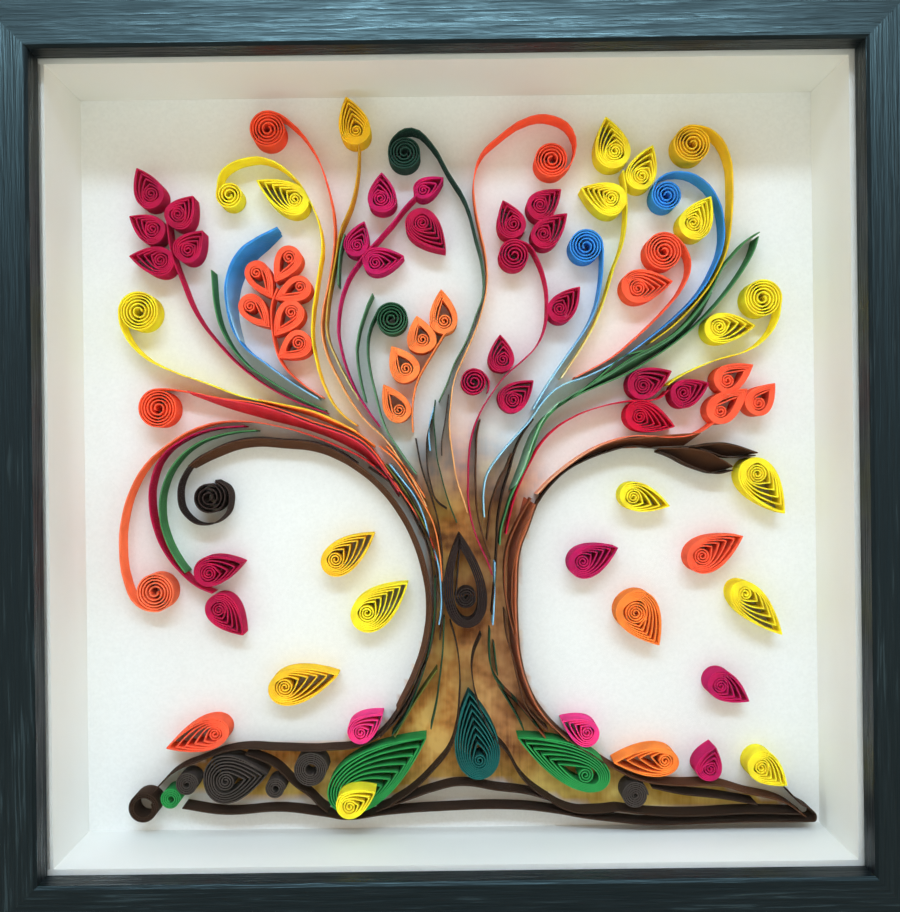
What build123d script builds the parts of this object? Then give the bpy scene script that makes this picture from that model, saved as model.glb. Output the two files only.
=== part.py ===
from build123d import *
import cmath
import itertools
import math
import os

os.makedirs("parts", exist_ok=True)

# Box frame: four mitred rails with a lip in front and a rabbet behind it
FRAME_SIDE = 250
FRAME_DEPTH = 45
RAIL_FACE = 15
RABBET = 5
LIP = 7
EDGE_CHAMFER = 0.8

# What lies in the rabbet, from the front to the back
FIT = 0.5
PANE = 2
SPACER_DEPTH = 26
SPACER_WALL = 5.25
CARD = 1.5
BACK = 3

# Bent steel tabs, two on each rail, that hold the back in
TAB_SPACING = 110
TAB_WIDTH = 8
TAB_LENGTH = 12
TAB_BITE = 5
TAB_POINT = 3
TAB_SHEET = 0.6
SLOT_FIT = 0.05

# Sawtooth hanger, pressed into the back by a prong at each end
HANGER_LENGTH = 46
HANGER_HEIGHT = 9
HANGER_SHEET = 0.8
HANGER_PAD = 9
HANGER_RAMP = 3
HANGER_STEP = 1.2
HANGER_DROP = 20
TOOTH_PITCH = 2.5
TOOTH_DEPTH = 1.5
PRONG_WIDTH = 4
PRONG_BITE = 2.2

# Quilled paper: strips stand on edge on the card
STRIP_WIDTH = 7
PAPER = 0.35
GLUE = 0.15
STEP = 1.2
BULGE = 0.45
COIL_FACETS = 8
COIL_TURNS = 1.5
CORE_SHARE = 0.32
LEAF_FACETS = 5
LEAF_CORE_FACETS = 4
LEAF_CORE_SHARE = 0.55
INNER_TIP_SHARE = 0.78
EYE_FACETS = 4
MITRE_SHARE = 0.4
CENTRE_SHARE = 0.5

half_side = FRAME_SIDE / 2
rail_wall = RAIL_FACE - RABBET
fitted = FRAME_SIDE - 2 * (rail_wall + FIT)
card_view = fitted - 2 * SPACER_WALL

# Depths behind the frame's front face
pane_depth = LIP + PANE
card_depth = pane_depth + SPACER_DEPTH
back_depth = card_depth + CARD
rear_depth = back_depth + BACK

# Strips, each from its free end to the trunk, as places across and up the visible card
strip_shares = {
    "trunk_strips": (
        ((.390, .494), (.425, .467), (.454, .419), (.4695, .381), (.4743, .317), (.4676, .259), (.452, .2156),
         (.427, .1674), (.3885, .127), (.325, .1163), (.269, .1175), (.206, .1185), (.160, .104), (.125, .089),
         (.098, .063)),
        ((.615, .4406), (.604, .4116), (.592, .379), (.588, .327), (.588, .2824), (.592, .235), (.6038, .194),
         (.621, .1616), (.656, .125), (.694, .100), (.7195, .0845), (.750, .071), (.798, .064), (.856, .0625),
         (.894, .0517), (.944, .038), (.9695, .020)),
        ((.6076, .45), (.588, .4155), (.575, .3827), (.571, .346), (.575, .3017), (.5826, .268)),
        ((.454, .532), (.4615, .492), (.471, .462), (.4805, .43), (.4865, .395), (.4885, .35), (.4875, .30),
         (.4835, .262)),
        ((.476, .5575), (.4695, .532), (.4685, .509), (.4695, .491), (.474, .4676), (.481, .448), (.4946, .4367)),
        ((.481, .583), (.4785, .5575), (.4805, .532), (.4825, .505), (.487, .485), (.4926, .462), (.4985, .4425),
         (.508, .418)),
        ((.4975, .2845), (.504, .262), (.5095, .22), (.5085, .18), (.5045, .145), (.4945, .115), (.475, .0905),
         (.4425, .0594), (.415, .042)),
        ((.5385, .268), (.5275, .240), (.5276, .202), (.538, .1636), (.5556, .129), (.5705, .1115), (.592, .075),
         (.621, .050), (.658, .0305), (.690, .0286), (.7195, .031)),
        ((.5505, .275), (.5495, .245), (.5535, .217), (.5655, .197), (.5864, .175), (.604, .154), (.6135, .142)),
        ((.5705, .300), (.5735, .265), (.5815, .235), (.588, .205), (.598, .171), (.617, .147), (.6265, .139)),
        ((.4895, .290), (.487, .245), (.482, .205), (.4775, .175), (.470, .143)),
        ((.479, .222), (.462, .198), (.448, .177), (.433, .152), (.4215, .133)),
        ((.499, .590), (.4935, .552), (.4892, .529), (.4888, .508)),
        ((.541, .556), (.537, .540), (.535, .510), (.534, .475), (.536, .433), (.5405, .410), (.547, .3866),
         (.5525, .369)),
        ((.612, .556), (.5965, .534), (.5864, .512), (.5787, .485), (.572, .4656), (.567, .444), (.563, .421),
         (.5615, .394), (.560, .369), (.5585, .344), (.5555, .318), (.5535, .295)),
    ),
    "ground_strips": (
        ((.1365, .0415), (.1925, .033), (.269, .036), (.327, .0286), (.3557, .024), (.404, .0295), (.471, .034),
         (.5864, .035), (.640, .0285)),
        ((.4405, .0498), (.471, .060), (.508, .0675), (.5575, .0605), (.600, .0545)),
        ((.671, .0245), (.721, .016), (.760, .012), (.817, .0126), (.894, .014), (.971, .0135)),
        ((.728, .0235), (.817, .023), (.894, .0257), (.962, .0237)),
        ((.765, .061), (.8017, .0527), (.856, .046), (.905, .037)),
        ((.222, .1125), (.259, .096), (.288, .069), (.3075, .0545), (.320, .0415), (.331, .0335)),
        ((.952, .046), (.966, .0335), (.983, .0165)),
    ),
    "brown_curl_low": (
        ((.186, .479), (.2015, .468), (.204, .448), (.1965, .4306), (.171, .4194), (.148, .429), (.136, .454),
         (.148, .4946), (.183, .520), (.231, .535), (.279, .533), (.317, .529), (.348, .517), (.375, .500)),
    ),
    "orange_curl_low": (
        ((.103, .3045), (.0787, .3133), (.064, .340), (.057, .394), (.0614, .433), (.073, .4685), (.092, .500),
         (.121, .526), (.164, .550), (.212, .558), (.279, .548), (.317, .536), (.348, .523), (.387, .5035),
         (.415, .479)),
    ),
    "crimson_pair_low": (
        ((.180, .328), (.1597, .3374), (.1375, .3567), (.1173, .3827), (.1038, .4136), (.0974, .4514),
         (.100, .479), (.1134, .510), (.140, .532), (.183, .5475), (.225, .551)),
    ),
    "green_strip_low": (
        ((.1445, .356), (.1335, .371), (.1173, .404), (.111, .4367), (.1154, .4714), (.1327, .504), (.158, .526),
         (.183, .5365), (.212, .543), (.241, .545)),
    ),
    "red_curl_left": (
        ((.112, .602), (.137, .600), (.198, .588), (.250, .580), (.317, .556), (.375, .534), (.394, .519),
         (.4136, .492), (.433, .462), (.450, .4365), (.4645, .412), (.474, .390), (.480, .369)),
    ),
    "yellow_curl_left": (
        ((.0595, .706), (.064, .681), (.086, .650), (.121, .629), (.175, .609), (.221, .591), (.279, .579),
         (.317, .570), (.346, .5575), (.375, .542)),
    ),
    "crimson_spray_left": (
        ((.124, .842), (.126, .817), (.130, .788), (.144, .745), (.162, .702), (.191, .662), (.231, .622),
         (.288, .586), (.336, .567)),
    ),
    "green_blade_left": (
        ((.184, .760), (.189, .706), (.198, .677), (.225, .637), (.259, .6115), (.298, .588), (.333, .571)),
    ),
    "blue_blade_left": (
        ((.273, .816), (.241, .800), (.221, .785), (.204, .750), (.203, .716), (.2195, .6655), (.259, .631),
         (.296, .604), (.325, .586)),
        ((.2735, .8105), (.255, .796), (.2335, .7785), (.2185, .757), (.2115, .730), (.2095, .705)),
    ),
    "coral_spray_left": (
        ((.272, .735), (.264, .714), (.263, .6925), (.269, .652), (.277, .633), (.300, .609), (.330, .588)),
    ),
    "yellow_curl_upper": (
        ((.1925, .866), (.198, .890), (.212, .902), (.229, .908), (.255, .909), (.292, .887), (.317, .850),
         (.332, .798), (.326, .750), (.317, .683), (.320, .648), (.338, .590), (.354, .567), (.375, .550)),
    ),
    "red_curl_upper": (
        ((.270, .970), (.288, .960), (.321, .921), (.338, .879), (.349, .815), (.342, .750), (.330, .687),
         (.3345, .652), (.348, .619), (.383, .561), (.414, .5305), (.435, .500), (.452, .472), (.468, .440)),
    ),
    "gold_leaf_top": (
        ((.383, .9255), (.381, .890), (.373, .850), (.356, .8075), (.351, .779), (.345, .748), (.338, .706),
         (.3375, .672), (.350, .638), (.365, .608), (.379, .5845)),
    ),
    "magenta_spray": (
        ((.458, .856), (.444, .842), (.429, .823), (.410, .802), (.381, .769), (.363, .739), (.352, .687),
         (.354, .660), (.373, .600), (.3885, .573), (.406, .548)),
    ),
    "dark_green_blades": (
        ((.399, .726), (.390, .706), (.377, .658), (.377, .640), (.381, .610), (.3875, .582)),
        ((.3625, .806), (.3577, .790), (.3545, .770), (.3535, .752), (.353, .738)),
    ),
    "dark_green_curl": (
        ((.403, .698), (.394, .677), (.391, .654), (.393, .629), (.400, .596), (.4136, .546), (.4275, .523),
         (.4415, .502), (.4545, .484)),
    ),
    "orange_spray": (
        ((.495, .672), (.481, .650), (.468, .629), (.458, .610), (.452, .588), (.450, .567), (.4505, .540)),
    ),
    "black_curl_top": (
        ((.4225, .914), (.430, .935), (.454, .946), (.479, .927), (.502, .887), (.525, .848), (.538, .800),
         (.5465, .763), (.547, .725), (.537, .696), (.5228, .6597), (.507, .631), (.4977, .606), (.486, .581)),
    ),
    "orange_curl_top": (
        ((.6535, .884), (.671, .908), (.668, .9425), (.644, .9595), (.613, .9595), (.567, .931), (.546, .910),
         (.5365, .879), (.5365, .850), (.543, .812), (.551, .773), (.552, .735), (.546, .705), (.534, .671),
         (.519, .638), (.507, .610), (.5015, .575), (.4995, .548), (.5045, .5035), (.508, .479), (.517, .450),
         (.5225, .431)),
    ),
    "blue_curl_right": (
        ((.776, .861), (.784, .8755), (.813, .8837), (.842, .873), (.8625, .846), (.8696, .815), (.868, .784),
         (.8576, .757), (.840, .727), (.811, .6964), (.773, .6655), (.7214, .630), (.683, .6115), (.650, .600),
         (.627, .5806), (.6076, .5536), (.5864, .5305), (.563, .5035), (.550, .4835), (.5455, .468),
         (.544, .445), (.545, .425)),
    ),
    "green_loop_right": (
        ((.9155, .796), (.910, .7786), (.902, .763), (.883, .735), (.8634, .711), (.836, .683), (.8056, .658),
         (.7747, .6366), (.740, .616), (.702, .600), (.669, .5855), (.6424, .569), (.623, .546), (.6096, .511),
         (.600, .490), (.590, .471), (.5806, .452), (.573, .429), (.567, .408), (.565, .388)),
        ((.917, .8017), (.906, .796), (.883, .773), (.867, .754), (.852, .725), (.836, .702), (.8075, .672),
         (.7786, .653), (.745, .636), (.718, .6185), (.695, .605)),
    ),
    "crimson_spray_right": (
        ((.600, .793), (.6096, .788), (.618, .775), (.6304, .740), (.6327, .706), (.629, .677), (.618, .654),
         (.600, .6356), (.577, .616), (.5565, .590), (.541, .565), (.5305, .538), (.5255, .510), (.524, .4714),
         (.5235, .452), (.5255, .433), (.530, .412), (.538, .3886), (.548, .367), (.5545, .348)),
    ),
    "blue_curl_centre": (
        ((.7075, .786), (.7076, .769), (.704, .731), (.696, .700), (.682, .673), (.6644, .648), (.645, .621),
         (.627, .594), (.612, .569)),
    ),
    "yellow_spray_right": (
        ((.736, .8866), (.7395, .860), (.7398, .825), (.734, .788), (.7224, .757), (.710, .7176), (.697, .6848),
         (.681, .656), (.662, .627), (.650, .610)),
    ),
    "mustard_curl_right": (
        ((.8326, .9455), (.8596, .9357), (.878, .906), (.882, .867), (.879, .811), (.874, .7805), (.863, .7535),
         (.8485, .7295), (.826, .7025), (.801, .6785), (.770, .656)),
    ),
    "red_curl_right": (
        ((.807, .7955), (.819, .7805), (.8245, .758), (.815, .731), (.794, .704), (.771, .681), (.7496, .6616),
         (.723, .640), (.698, .6255), (.669, .611)),
    ),
    "yellow_curl_right": (
        ((.9445, .706), (.9396, .683), (.923, .659), (.898, .643), (.8634, .6337), (.8326, .622), (.8036, .6075),
         (.792, .599)),
    ),
    "crimson_trio_right": (
        ((.793, .592), (.7824, .5826), (.769, .5790), (.7427, .5787), (.698, .570), (.6636, .5565), (.6385, .540),
         (.6195, .519), (.6065, .4965), (.5965, .477), (.587, .454), (.5795, .429), (.5735, .402)),
    ),
    "coral_trio_right": (
        ((.8557, .549), (.8326, .535), (.8036, .5295), (.769, .531), (.7465, .5315), (.7137, .524), (.683, .510),
         (.656, .492), (.6327, .473), (.615, .455)),
    ),
    "crimson_group_centre": (
        ((.536, .6235), (.548, .616), (.5535, .604), (.551, .592)),
    ),
    "brown_branch_right": (
        ((.911, .507), (.875, .519), (.8596, .521), (.827, .517), (.769, .5155), (.7465, .518), (.712, .511),
         (.677, .498), (.654, .485), (.6366, .4694), (.625, .456), (.617, .444)),
        ((.908, .5035), (.8846, .501), (.867, .5025), (.848, .509), (.835, .5135)),
        ((.8775, .484), (.8557, .480), (.836, .485), (.817, .4926), (.798, .503), (.780, .510)),
    ),
}

# Leaves: pinched tip, far end of the round end, width
leaf_shares = {
    "trunk_knot": (((.511, .404), (.522, .2785), .054),),
    "crimson_pair_low": (((.2205, .368), (.157, .352), .039), ((.220, .2715), (.178, .322), .040)),
    "crimson_spray_left": (
        ((.0865, .897), (.110, .846), .037),
        ((.160, .859), (.131, .820), .037),
        ((.076, .833), (.119, .805), .036),
        ((.173, .812), (.140, .776), .036),
        ((.075, .780), (.133, .769), .037),
    ),
    "coral_spray_left": (
        ((.264, .722), (.237, .769), .032),
        ((.269, .744), (.296, .788), .033),
        ((.260, .683), (.226, .723), .033),
        ((.269, .721), (.315, .741), .031),
        ((.267, .672), (.300, .714), .034),
        ((.272, .643), (.313, .669), .035),
    ),
    "yellow_leaf_upper": (((.241, .877), (.306, .8405), .038),),
    "gold_leaf_top": (((.367, .989), (.383, .927), .037),),
    "magenta_spray": (
        ((.4126, .887), (.4135, .8355), .037),
        ((.4955, .879), (.457, .8595), .025),
        ((.3895, .822), (.3715, .778), .031),
        ((.441, .775), (.387, .767), .034),
    ),
    "crimson_leaf_upper": (((.4975, .783), (.451, .833), .042),),
    "orange_spray": (
        ((.491, .730), (.4945, .672), .036),
        ((.458, .695), (.467, .647), .038),
        ((.424, .655), (.450, .610), .038),
        ((.4125, .604), (.439, .556), .034),
    ),
    "crimson_spray_right": (
        ((.575, .848), (.592, .800), .036),
        ((.652, .862), (.612, .829), .037),
        ((.6597, .8297), (.6173, .790), .036),
        ((.6755, .7315), (.6395, .689), .035),
    ),
    "crimson_group_centre": (((.569, .6685), (.5705, .620), .033), ((.6125, .6066), (.570, .572), .037)),
    "yellow_spray_right": (
        ((.7137, .958), (.727, .891), .045),
        ((.776, .919), (.7515, .863), .038),
        ((.680, .864), (.737, .840), .042),
    ),
    "yellow_leaf_right": (((.852, .850), (.821, .797), .042),),
    "orange_leaf_right": (((.7998, .737), (.733, .729), .043),),
    "yellow_curl_right": (((.9097, .677), (.843, .673), .039),),
    "crimson_trio_right": (
        ((.797, .617), (.741, .593), .039),
        ((.847, .601), (.798, .580), .036),
        ((.800, .543), (.737, .566), .040),
    ),
    "coral_trio_right": (
        ((.906, .624), (.857, .597), .036),
        ((.898, .592), (.848, .554), .038),
        ((.935, .599), (.902, .562), .035),
    ),
    "yellow_leaf_low": (((.946, .426), (.895, .496), .048),),
    "falling_leaves_yellow": (
        ((.396, .405), (.330, .357), .043),
        ((.4406, .338), (.370, .2825), .049),
        ((.346, .2166), (.2545, .1935), .046),
        ((.792, .437), (.728, .457), .037),
        ((.9406, .264), (.878, .331), .040),
    ),
    "falling_leaves_red": (
        ((.7224, .3827), (.659, .354), .041),
        ((.8895, .396), (.818, .358), .044),
        ((.7757, .2516), (.734, .319), .056),
        ((.895, .175), (.844, .207), .037),
    ),
    "ground_leaves_left": (
        ((.1165, .1215), (.1985, .148), .040),
        ((.4058, .1627), (.362, .132), .033),
        ((.4637, .1317), (.336, .0435), .068),
    ),
    "ground_leaves_right": (
        ((.5215, .1906), (.537, .076), .056),
        ((.646, .151), (.692, .1265), .034),
        ((.7147, .095), (.800, .095), .037),
        ((.850, .1145), (.836, .071), .033),
        ((.9444, .062), (.898, .100), .040),
    ),
    "ground_leaf_upper": (((.397, .0705), (.348, .047), .034),),
    "ground_coils": (((.2505, .0845), (.166, .076), .061),),
}

# The one leaf with two pinched tips: both tips, width
eye_shares = {
    "ground_leaves_right": (((.586, .128), (.705, .068), .048),),
}

# Coils: centre and radius
coil_shares = {
    "brown_curl_low": (((.177, .456), .0225),),
    "orange_curl_low": (((.103, .330), .0245),),
    "red_curl_left": (((.1105, .576), .0255),),
    "yellow_curl_left": (((.086, .706), .0265),),
    "yellow_curl_upper": (((.209, .8605), .0174),),
    "red_curl_upper": (((.2615, .9475), .0225),),
    "black_curl_top": (((.444, .914), .0215),),
    "dark_green_curl": (((.424, .692), .0215),),
    "orange_curl_top": (((.6405, .9025), .0225),),
    "crimson_spray_right": (((.589, .7755), .019),),
    "crimson_group_centre": (((.533, .6065), .0165),),
    "blue_curl_centre": (((.685, .786), .0225),),
    "blue_curl_right": (((.794, .853), .020),),
    "mustard_curl_right": (((.829, .921), .0235),),
    "red_curl_right": (((.789, .778), .0245),),
    "yellow_curl_right": (((.9205, .7135), .0245),),
}

# Tight coils of the ground: centre, radius and share of the radius left open
tight_coil_shares = {
    "ground_coils": (
        ((.143, .073), .015, .2),
        ((.121, .0536), .0135, .25),
        ((.261, .066), .0135, .25),
        ((.3085, .0905), .0225, .45),
        ((.0845, .042), .020, .5),
        ((.7417, .0515), .0175, .2),
    ),
}

laid_lines = []


def depth_plane(depth):
    """Plane across the frame, so far behind its front face, that faces the front."""
    return Plane(origin=(0, depth - FRAME_DEPTH / 2, 0), x_dir=(1, 0, 0), z_dir=(0, -1, 0))


def save(node, shape):
    """Write one piece, raised so that the frame stands on its bottom edge."""
    export_step(Pos(0, 0, half_side) * shape, f"parts/{node}.step")


def mitred_bar(width):
    """Face of a bottom bar whose ends are cut at 45 degrees."""
    inner = half_side - width
    return make_face(Polyline(
        (-half_side, -half_side), (half_side, -half_side), (inner, -inner), (-inner, -inner), close=True))


def bottom_tabs(play=0):
    """Two flat tabs, pointed where they bite the rail, or the slots that take them with some play."""
    reach = TAB_WIDTH / 2 + play
    shoulder = TAB_POINT - TAB_BITE
    outline = make_face(Polyline(
        (0, -TAB_BITE - play), (reach, shoulder), (reach, TAB_LENGTH), (-reach, TAB_LENGTH), (-reach, shoulder),
        close=True))
    edge = rail_wall - half_side
    pair = Sketch() + Locations((-TAB_SPACING / 2, edge), (TAB_SPACING / 2, edge)) * outline
    return extrude(depth_plane(rear_depth + TAB_SHEET + play) * pair, TAB_SHEET + 2 * play)


def bottom_rail():
    """Rail with its lip in front, its rabbet behind and the slots that its tabs bite."""
    lip = extrude(depth_plane(LIP) * mitred_bar(RAIL_FACE), LIP)
    wall = extrude(depth_plane(FRAME_DEPTH) * mitred_bar(rail_wall), FRAME_DEPTH - LIP)
    rail = lip + wall
    front = rail.faces().sort_by(Axis.Y)[0]
    rail = chamfer(front.edges().filter_by(Axis.X), EDGE_CHAMFER)
    return rail - bottom_tabs(SLOT_FIT)


def panel(width, height, depth, thickness):
    """Flat sheet across the frame whose back lies at a depth."""
    return extrude(depth_plane(depth) * Rectangle(width, height), thickness)


def prongs(play=0):
    """Two pointed prongs, bent from the hanger's ends into the back, or the slots that take them with some play."""
    rear = depth_plane(rear_depth).origin.Y
    height = fitted / 2 - HANGER_DROP
    reach = PRONG_WIDTH / 2 + play
    outline = make_face(Polyline(
        (rear, height - reach), (rear - PRONG_BITE - play, height), (rear, height + reach), close=True))
    prong = extrude(Plane.YZ * outline, HANGER_SHEET / 2 + play, both=True)
    end = (HANGER_LENGTH - HANGER_SHEET) / 2
    return Part() + [Pos(-end, 0, 0) * prong, Pos(end, 0, 0) * prong]


def hanger():
    """Strip bent to stand off the back in its middle, toothed along the lower edge."""
    half = HANGER_LENGTH / 2
    rise = half - HANGER_PAD
    flat = rise - HANGER_RAMP
    low = depth_plane(rear_depth).origin.Y
    high = low + HANGER_STEP
    path = ((-half, low), (-rise, low), (-flat, high), (flat, high), (rise, low), (half, low))
    back = [(x, y + HANGER_SHEET) for x, y in reversed(path)]
    foot = fitted / 2 - HANGER_DROP - HANGER_HEIGHT / 2
    strip = Pos(0, 0, foot) * extrude(make_face(Polyline(*path, *back, close=True)), HANGER_HEIGHT)
    tooth = make_face(Polyline((-TOOTH_PITCH / 2, 0), (TOOTH_PITCH / 2, 0), (0, TOOTH_DEPTH), close=True))
    teeth = Sketch() + GridLocations(TOOTH_PITCH, 0, int(2 * flat / TOOTH_PITCH), 1) * tooth
    notches = extrude(Plane.XZ * Pos(0, foot) * teeth, -FRAME_DEPTH)
    return strip - notches + prongs()


def place(point_shares):
    """Point of the card, as a complex number, for shares of its visible square from the left and the bottom."""
    x_share, z_share = point_shares
    return complex(x_share - CENTRE_SHARE, z_share - CENTRE_SHARE) * card_view


def pairs(points):
    """Complex points as pairs of numbers."""
    return [(point.real, point.imag) for point in points]


def ribbon(points):
    """Face of one paper thickness along a line of points."""
    headings = [cmath.phase(end - start) for start, end in zip(points, points[1:])]
    left = []
    right = []
    for here, behind, ahead in zip(points, [headings[0], *headings], [*headings, headings[-1]]):
        bend = math.remainder(ahead - behind, math.tau) / 2
        reach = PAPER / 2 / max(math.cos(bend), MITRE_SHARE)
        side = cmath.rect(reach, behind + bend + math.pi / 2)
        left.append(here + side)
        right.append(here - side)
    return make_face(Polyline(*pairs([*left, *reversed(right)]), close=True))


def gap_to(point, line):
    """Shortest distance from a point to a line of points."""
    gaps = []
    for start, end in zip(line, line[1:]):
        along = end - start
        share = ((point - start) / along).real
        gaps.append(abs(point - start - along * min(max(share, 0), 1)))
    return min(gaps)


def facets(curve):
    """Points along a curve, as far apart as the curve's bulge from a straight facet allows."""
    steps = math.ceil(curve.length / STEP)
    stops = [curve @ (step / steps) for step in range(steps + 1)]
    points = [complex(stop.X, stop.Y) for stop in stops]
    first = 0
    kept = points[:1]
    for last in range(2, steps + 1):
        chord = (points[first], points[last])
        if max(gap_to(point, chord) for point in points[first + 1:last]) > BULGE:
            first = last - 1
            kept.append(points[first])
    return [*kept, points[-1]]


def is_clear(stop):
    """Whether a point of a strip is clear of the strips that are already laid."""
    return all(gap_to(stop[0], other) > PAPER + GLUE for other in laid_lines)


def lay(point_shares):
    """Facets of one strip along its curve, over its longest stretch clear of the strips already laid."""
    line = facets(Spline(*pairs(place(point) for point in point_shares)))
    walk = []
    for start, end in zip(line, line[1:]):
        steps = math.ceil(abs(end - start) / STEP)
        walk += [(start + (end - start) * step / steps, step == 0) for step in range(steps)]
    walk.append((line[-1], True))
    stretches = [list(stretch) for clear, stretch in itertools.groupby(walk, is_clear) if clear]
    first, *between, last = max(stretches, key=len)
    kept = [first[0], *(point for point, is_corner in between if is_corner), last[0]]
    laid_lines.append(kept)
    return kept


def leaf(tip_shares, end_shares, width_share):
    """Pinched coil: its outer turn from the tip round and back, then its round core."""
    tip = place(tip_shares)
    end = place(end_shares)
    radius = width_share * card_view / 2
    axis = (tip - end) / abs(tip - end)
    centre = end + axis * radius
    reach = abs(tip - centre)
    spread = math.acos(radius / reach)
    turn = 2 * (math.pi - spread) / LEAF_FACETS
    points = [tip]
    points += [centre + axis * cmath.rect(radius, spread + turn * step) for step in range(LEAF_FACETS + 1)]
    points.append(centre + axis * reach * INNER_TIP_SHARE)
    turn = 2 * math.pi / (LEAF_CORE_FACETS + 1)
    core = radius * LEAF_CORE_SHARE
    points += [centre + axis * cmath.rect(core, turn * (step + 1)) for step in range(LEAF_CORE_FACETS)]
    return points


def eye(tip_shares, far_shares, width_share):
    """Coil pinched at two ends: an outer turn and one smaller turn inside it."""
    tip = place(tip_shares)
    far = place(far_shares)
    middle = (tip + far) / 2
    along = (tip - far) / 2
    across = along / abs(along) * 1j * width_share * card_view / 2
    points = []
    for step in range(3 * EYE_FACETS):
        angle = math.pi * step / EYE_FACETS
        shrink = 1 if step < 2 * EYE_FACETS else LEAF_CORE_SHARE
        points.append(middle + (along * math.cos(angle) + across * math.sin(angle)) * shrink)
    return points


def coil(centre_shares, radius_share):
    """Spiral of a loose coil, from its outer turn in to its core."""
    radius = radius_share * card_view
    steps = int(COIL_TURNS * COIL_FACETS)
    points = []
    for step in range(steps + 1):
        reach = radius * (1 - (1 - CORE_SHARE) * step / steps)
        points.append(place(centre_shares) + cmath.rect(reach, 2 * math.pi * step / COIL_FACETS))
    return points


def tight_coil(centre_shares, radius_share, open_share):
    """Face of a tight coil, whose turns touch, round its open middle."""
    centre = place(centre_shares)
    radius = radius_share * card_view
    ring = RegularPolygon(radius, COIL_FACETS) - RegularPolygon(radius * open_share, COIL_FACETS)
    return Pos(centre.real, centre.imag) * ring


def quilled(node):
    """Footprint on the card of all the paper of one node."""
    faces = [ribbon(lay(line)) for line in strip_shares.get(node, ())]
    faces += [ribbon(leaf(*sizes)) for sizes in leaf_shares.get(node, ())]
    faces += [ribbon(eye(*sizes)) for sizes in eye_shares.get(node, ())]
    faces += [ribbon(coil(*sizes)) for sizes in coil_shares.get(node, ())]
    faces += [tight_coil(*sizes) for sizes in tight_coil_shares.get(node, ())]
    return Sketch() + faces


# Rails and tabs, turned round the frame from the bottom one
sides = {"bottom": 0, "left": 90, "top": 180, "right": 270}
for side, angle in sides.items():
    save(f"frame_rail_{side}", Rot(0, angle, 0) * bottom_rail())
save("retaining_tabs", Part() + [Rot(0, angle, 0) * bottom_tabs() for angle in sides.values()])

# Pane, spacers, card and back, one behind the other
save("front_glazing", panel(fitted, fitted, pane_depth, PANE))
spacer_place = (fitted - SPACER_WALL) / 2
long_spacer = panel(fitted, SPACER_WALL, card_depth, SPACER_DEPTH)
short_spacer = panel(SPACER_WALL, card_view, card_depth, SPACER_DEPTH)
save("spacer_top", Pos(0, 0, spacer_place) * long_spacer)
save("spacer_bottom", Pos(0, 0, -spacer_place) * long_spacer)
save("spacer_left", Pos(-spacer_place, 0, 0) * short_spacer)
save("spacer_right", Pos(spacer_place, 0, 0) * short_spacer)
save("background_card", panel(fitted, fitted, back_depth, CARD))
save("back_board", panel(fitted, fitted, rear_depth, BACK) - prongs(SLOT_FIT))
save("sawtooth_hanger", hanger())

# Quilled paper on the card, the trunk first, and one small leaf on a big one
for node in [*strip_shares, *(node for node in leaf_shares if node not in strip_shares)]:
    base = card_depth - STRIP_WIDTH if node == "ground_leaf_upper" else card_depth
    save(node, extrude(depth_plane(base) * quilled(node), STRIP_WIDTH))
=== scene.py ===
import cmath
import math

import bpy
import numpy as np
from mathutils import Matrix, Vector


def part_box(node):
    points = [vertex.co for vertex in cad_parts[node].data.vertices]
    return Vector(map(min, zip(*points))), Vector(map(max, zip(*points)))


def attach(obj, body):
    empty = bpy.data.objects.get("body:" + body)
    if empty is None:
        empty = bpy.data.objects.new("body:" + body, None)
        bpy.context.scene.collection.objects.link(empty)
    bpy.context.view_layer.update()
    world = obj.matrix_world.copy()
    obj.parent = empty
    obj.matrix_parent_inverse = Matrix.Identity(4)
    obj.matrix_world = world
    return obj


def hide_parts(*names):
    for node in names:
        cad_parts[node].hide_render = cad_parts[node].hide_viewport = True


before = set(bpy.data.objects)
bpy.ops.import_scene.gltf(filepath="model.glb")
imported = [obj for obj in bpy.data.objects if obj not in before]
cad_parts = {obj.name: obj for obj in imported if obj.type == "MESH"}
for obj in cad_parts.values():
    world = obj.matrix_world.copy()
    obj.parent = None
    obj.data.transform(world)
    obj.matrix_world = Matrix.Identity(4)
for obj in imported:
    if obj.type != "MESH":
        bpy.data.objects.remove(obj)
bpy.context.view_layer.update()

# The frame's four rails, mitred at the corners and glued: light wood with a black wood-grain
# finish. The grain runs along each rail, with a soft sheen on its ridges and fine dark pores.
RAIL_GRAIN_LENGTH = 0.016
RAIL_GRAIN_WIDTH = 0.0006
RAIL_STREAK_LENGTH = 4 * RAIL_GRAIN_LENGTH
RAIL_STREAK_WIDTH = 0.005
STREAK_SHARE = 0.55


def linear(code):
    """Linear colour of an sRGB hex code."""
    shares = [int(code[place:place + 2], 16) / 255 for place in (0, 2, 4)]
    return [s / 12.92 if s <= 0.04045 else ((s + 0.055) / 1.055) ** 2.4 for s in shares] + [1]


def add(tree, kind, inputs=None, stops=(), **settings):
    """Adds a node with its settings, sets or links its inputs by name or number, and sets a ramp's stops."""
    new = tree.nodes.new(kind)
    for name, value in settings.items():
        setattr(new, name, value)
    for name, value in (inputs or {}).items():
        if isinstance(value, bpy.types.NodeSocket):
            tree.links.new(value, new.inputs[name])
        else:
            new.inputs[name].default_value = value
    for number, (place, code) in enumerate(stops):
        mark = new.color_ramp.elements[number] if number < 2 else new.color_ramp.elements.new(place)
        mark.position = place
        mark.color = linear(code)
    return new


def blank(name):
    """An empty material and its node tree."""
    material = bpy.data.materials.new(name)
    material.use_nodes = True
    material.node_tree.nodes.clear()
    return material, material.node_tree


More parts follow.
